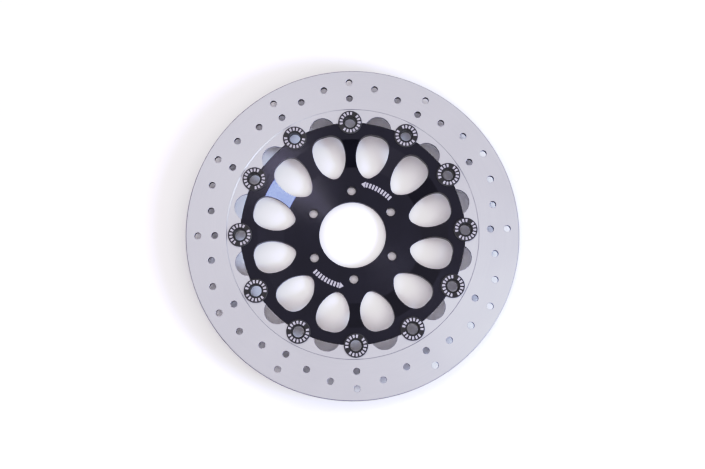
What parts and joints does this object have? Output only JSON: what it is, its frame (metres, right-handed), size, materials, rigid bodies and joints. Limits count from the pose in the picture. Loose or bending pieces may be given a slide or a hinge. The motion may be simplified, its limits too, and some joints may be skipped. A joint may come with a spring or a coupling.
{
  "type": "floating brake disc",
  "caption": "Floating brake disc with a drilled friction ring hung by drive bobbins on a dished, windowed carrier that bolts to a wheel hub.",
  "frame": {"origin": "centre of the hub bore in the plane of the hub's back face, which bolts to the wheel", "axes": "+Z along the disc's axis towards its outer, visible face; +X through a bobbin"},
  "size_m": [0.32, 0.32, 0.0237],
  "materials": {
    "ground_steel": "surface-ground stainless steel",
    "black_anodised": "machined aluminium, satin black anodised",
    "bobbin_anodised": "turned aluminium, black anodised",
    "zinc_steel": "zinc-plated steel",
    "spring_steel": "bright spring steel",
    "dark_steel": "phosphated spring steel"
  },
  "bodies": {
    "carrier": {"carrier": "black_anodised"},
    "ring": {"friction_ring": "ground_steel"},
    "bobbin_set_01": {"bobbin_01": "bobbin_anodised", "flat_washer_01": "zinc_steel", "wave_washer_01": "spring_steel", "circlip_01": "dark_steel"},
    "bobbin_set_02": {"bobbin_02": "bobbin_anodised", "flat_washer_02": "zinc_steel", "wave_washer_02": "spring_steel", "circlip_02": "dark_steel"},
    "bobbin_set_03": {"bobbin_03": "bobbin_anodised", "flat_washer_03": "zinc_steel", "wave_washer_03": "spring_steel", "circlip_03": "dark_steel"},
    "bobbin_set_04": {"bobbin_04": "bobbin_anodised", "flat_washer_04": "zinc_steel", "wave_washer_04": "spring_steel", "circlip_04": "dark_steel"},
    "bobbin_set_05": {"bobbin_05": "bobbin_anodised", "flat_washer_05": "zinc_steel", "wave_washer_05": "spring_steel", "circlip_05": "dark_steel"},
    "bobbin_set_06": {"bobbin_06": "bobbin_anodised", "flat_washer_06": "zinc_steel", "wave_washer_06": "spring_steel", "circlip_06": "dark_steel"},
    "bobbin_set_07": {"bobbin_07": "bobbin_anodised", "flat_washer_07": "zinc_steel", "wave_washer_07": "spring_steel", "circlip_07": "dark_steel"},
    "bobbin_set_08": {"bobbin_08": "bobbin_anodised", "flat_washer_08": "zinc_steel", "wave_washer_08": "spring_steel", "circlip_08": "dark_steel"},
    "bobbin_set_09": {"bobbin_09": "bobbin_anodised", "flat_washer_09": "zinc_steel", "wave_washer_09": "spring_steel", "circlip_09": "dark_steel"},
    "bobbin_set_10": {"bobbin_10": "bobbin_anodised", "flat_washer_10": "zinc_steel", "wave_washer_10": "spring_steel", "circlip_10": "dark_steel"},
    "bobbin_set_11": {"bobbin_11": "bobbin_anodised", "flat_washer_11": "zinc_steel", "wave_washer_11": "spring_steel", "circlip_11": "dark_steel"},
    "bobbin_set_12": {"bobbin_12": "bobbin_anodised", "flat_washer_12": "zinc_steel", "wave_washer_12": "spring_steel", "circlip_12": "dark_steel"}
  },
  "joints": [
    {"name": "ring_float", "type": "slide", "parent": "carrier", "child": "ring", "axis": [0, 0, 1], "range_m": [-0.0002, 0.0002]},
    {"name": "bobbin_turn_01", "type": "hinge", "parent": "carrier", "child": "bobbin_set_01", "pos_m": [0.108, 0, 0.02], "axis": [0, 0, 1], "continuous": true},
    {"name": "bobbin_turn_02", "type": "hinge", "parent": "carrier", "child": "bobbin_set_02", "pos_m": [0.09353, 0.054, 0.02], "axis": [0, 0, 1], "continuous": true},
    {"name": "bobbin_turn_03", "type": "hinge", "parent": "carrier", "child": "bobbin_set_03", "pos_m": [0.054, 0.09353, 0.02], "axis": [0, 0, 1], "continuous": true},
    {"name": "bobbin_turn_04", "type": "hinge", "parent": "carrier", "child": "bobbin_set_04", "pos_m": [0, 0.108, 0.02], "axis": [0, 0, 1], "continuous": true},
    {"name": "bobbin_turn_05", "type": "hinge", "parent": "carrier", "child": "bobbin_set_05", "pos_m": [-0.054, 0.09353, 0.02], "axis": [0, 0, 1], "continuous": true},
    {"name": "bobbin_turn_06", "type": "hinge", "parent": "carrier", "child": "bobbin_set_06", "pos_m": [-0.09353, 0.054, 0.02], "axis": [0, 0, 1], "continuous": true},
    {"name": "bobbin_turn_07", "type": "hinge", "parent": "carrier", "child": "bobbin_set_07", "pos_m": [-0.108, 0, 0.02], "axis": [0, 0, 1], "continuous": true},
    {"name": "bobbin_turn_08", "type": "hinge", "parent": "carrier", "child": "bobbin_set_08", "pos_m": [-0.09353, -0.054, 0.02], "axis": [0, 0, 1], "continuous": true},
    {"name": "bobbin_turn_09", "type": "hinge", "parent": "carrier", "child": "bobbin_set_09", "pos_m": [-0.054, -0.09353, 0.02], "axis": [0, 0, 1], "continuous": true},
    {"name": "bobbin_turn_10", "type": "hinge", "parent": "carrier", "child": "bobbin_set_10", "pos_m": [0, -0.108, 0.02], "axis": [0, 0, 1], "continuous": true},
    {"name": "bobbin_turn_11", "type": "hinge", "parent": "carrier", "child": "bobbin_set_11", "pos_m": [0.054, -0.09353, 0.02], "axis": [0, 0, 1], "continuous": true},
    {"name": "bobbin_turn_12", "type": "hinge", "parent": "carrier", "child": "bobbin_set_12", "pos_m": [0.09353, -0.054, 0.02], "axis": [0, 0, 1], "continuous": true}
  ]
}
